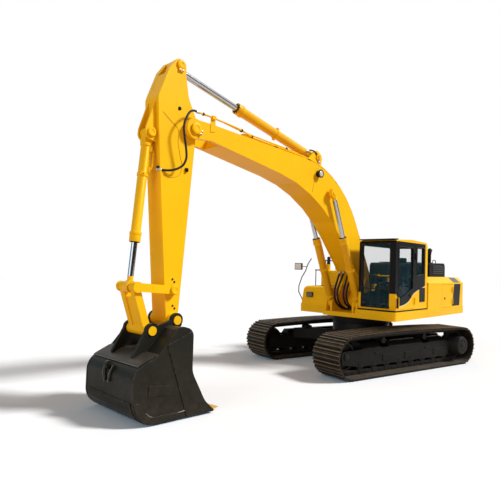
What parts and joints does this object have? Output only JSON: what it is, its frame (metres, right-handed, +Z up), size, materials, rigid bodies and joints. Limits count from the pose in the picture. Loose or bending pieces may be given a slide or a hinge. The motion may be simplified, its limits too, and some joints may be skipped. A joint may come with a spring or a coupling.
{
  "type": "tracked excavator",
  "caption": "Tracked hydraulic excavator with a swinging house, cab, counterweight, banana boom, arm and toothed bucket worked by hydraulic cylinders.",
  "frame": {"origin": "On the ground under the slew axis.", "axes": "+X to the boom's tip, +Y to the operator's left, +Z up; the tracks stand 12 degrees clockwise of the house."},
  "size_m": [10.8485, 4.352, 5.7975],
  "materials": {
    "black": "satin black paint",
    "bucket": "dark olive black paint",
    "chrome": "polished rods",
    "dark": "dark worn steel",
    "glass": "tinted glass",
    "lamp": "lamp housing",
    "mirror": "black mirror housing",
    "plastic": "moulded black plastic",
    "seat": "dark cloth",
    "teeth": "pale yellow cast teeth",
    "track": "dark rolled steel shoes",
    "yellow": "gloss chrome yellow paint"
  },
  "bodies": {
    "undercarriage": {"carbody": "black", "track_frame_left": "black", "track_frame_right": "black", "track_left": "track", "track_right": "track", "idlers": "dark", "sprockets": "dark", "track_rollers": "dark", "carrier_rollers": "dark"},
    "upper": {"swing_bearing": "dark", "revolving_frame": "yellow", "counterweight": "yellow", "engine": "dark", "machine_covers": "yellow", "side_panels": "yellow", "fuel_tank": "yellow", "toolbox": "yellow", "cab_frame": "yellow", "cab_glass": "glass", "operator_seat": "seat", "cab_controls": "plastic", "cab_trim": "plastic", "handrails": "black", "mirrors": "mirror", "front_lamp": "lamp"},
    "hood": {"engine_hood": "black", "exhaust": "black"},
    "service_door": {"service_door": "yellow"},
    "pump_door": {"pump_door": "yellow"},
    "cab_door": {"cab_door": "black", "door_glass": "glass"},
    "boom": {"boom": "yellow", "boom_pipes": "yellow", "pipe_clamps": "black", "boom_lamp": "lamp"},
    "boom_barrels": {"boom_barrels": "yellow"},
    "boom_rods": {"boom_rods": "chrome"},
    "arm": {"arm": "yellow"},
    "arm_barrel": {"arm_barrel": "yellow"},
    "arm_rod": {"arm_rod": "chrome"},
    "bucket_barrel": {"bucket_barrel": "yellow"},
    "bucket_rod": {"bucket_rod": "chrome"},
    "rockers": {"rockers": "yellow"},
    "bucket_link": {"bucket_link": "yellow"},
    "bucket": {"bucket": "bucket", "bucket_pins": "yellow", "bucket_teeth": "teeth"}
  },
  "joints": [
    {"name": "swing", "type": "hinge", "parent": "undercarriage", "child": "upper", "pos_m": [0, 0, 1.1], "axis": [0, 0, 1], "continuous": true},
    {"name": "boom_lift", "type": "hinge", "parent": "upper", "child": "boom", "pos_m": [0.131, 0, 1.944], "axis": [0, 1, 0], "range_deg": [-31, 68]},
    {"name": "arm_swing", "type": "hinge", "parent": "boom", "child": "arm", "pos_m": [6.00483, 0, 4.65436], "axis": [0, -1, 0], "range_deg": [-37, 80]},
    {"name": "bucket_curl", "type": "hinge", "parent": "arm", "child": "bucket", "pos_m": [6.29048, 0, 1.44103], "axis": [0, -1, 0], "range_deg": [-115, 60]},
    {"name": "cab_door_hinge", "type": "hinge", "parent": "upper", "child": "cab_door", "pos_m": [0.01, 1.478, 2.1], "axis": [0, 0, 1], "range_deg": [0, 165]},
    {"name": "service_door_hinge", "type": "hinge", "parent": "upper", "child": "service_door", "pos_m": [-2.328, 1.508, 1.7], "axis": [0, 0, 1], "range_deg": [0, 120]},
    {"name": "pump_door_hinge", "type": "hinge", "parent": "upper", "child": "pump_door", "pos_m": [-2.328, -1.508, 1.7], "axis": [0, 0, -1], "range_deg": [0, 120]},
    {"name": "hood_hinge", "type": "hinge", "parent": "upper", "child": "hood", "pos_m": [-1.482, 0.285, 2.238], "axis": [0, 1, 0], "range_deg": [0, 60]},
    {"name": "boom_cylinder_tilt", "type": "hinge", "parent": "upper", "child": "boom_barrels", "pos_m": [0.815, 0, 1.48], "axis": [0, 1, 0], "range_deg": [-33.18, 72.19]},
    {"name": "boom_cylinder_stroke", "type": "slide", "parent": "boom_barrels", "child": "boom_rods", "axis": [0.4105, 0, 0.9119], "range_m": [-0.8611, 0.3947]},
    {"name": "arm_cylinder_tilt", "type": "hinge", "parent": "boom", "child": "arm_barrel", "pos_m": [2.3, 0, 4.9], "axis": [0, -1, 0], "range_deg": [-1.04, 1.67]},
    {"name": "arm_cylinder_stroke", "type": "slide", "parent": "arm_barrel", "child": "arm_rod", "axis": [0.981, 0, 0.1941], "range_m": [-1.321, 0.6131]},
    {"name": "bucket_cylinder_tilt", "type": "hinge", "parent": "arm", "child": "bucket_barrel", "pos_m": [6.7595, 0, 4.4544], "axis": [0, -1, 0], "range_deg": [-5.09, 2.89]},
    {"name": "bucket_cylinder_stroke", "type": "slide", "parent": "bucket_barrel", "child": "bucket_rod", "axis": [0.0925, 0, -0.9957], "range_m": [-0.4227, 0.8065]},
    {"name": "rocker_swing", "type": "hinge", "parent": "arm", "child": "rockers", "pos_m": [6.30848, 0, 1.92803], "axis": [0, -1, 0], "range_deg": [-71.8, 37.7]},
    {"name": "link_swing", "type": "hinge", "parent": "bucket", "child": "bucket_link", "pos_m": [6.76348, 0, 1.30503], "axis": [0, -1, 0], "range_deg": [-37.1, 70.65]}
  ],
  "couplings": [
    {"joint": "boom_cylinder_tilt", "follows": "boom_lift", "ratio": 1.0542},
    {"joint": "boom_cylinder_stroke", "follows": "boom_lift", "m_per_rad": -0.7222},
    {"joint": "arm_cylinder_tilt", "follows": "arm_swing", "ratio": 0.0146},
    {"joint": "arm_cylinder_stroke", "follows": "arm_swing", "m_per_rad": -0.9432},
    {"joint": "bucket_cylinder_tilt", "follows": "bucket_curl", "ratio": 0.0399},
    {"joint": "bucket_cylinder_stroke", "follows": "bucket_curl", "m_per_rad": -0.3998},
    {"joint": "rocker_swing", "follows": "bucket_curl", "ratio": 0.62},
    {"joint": "link_swing", "follows": "bucket_curl", "ratio": -0.61}
  ]
}
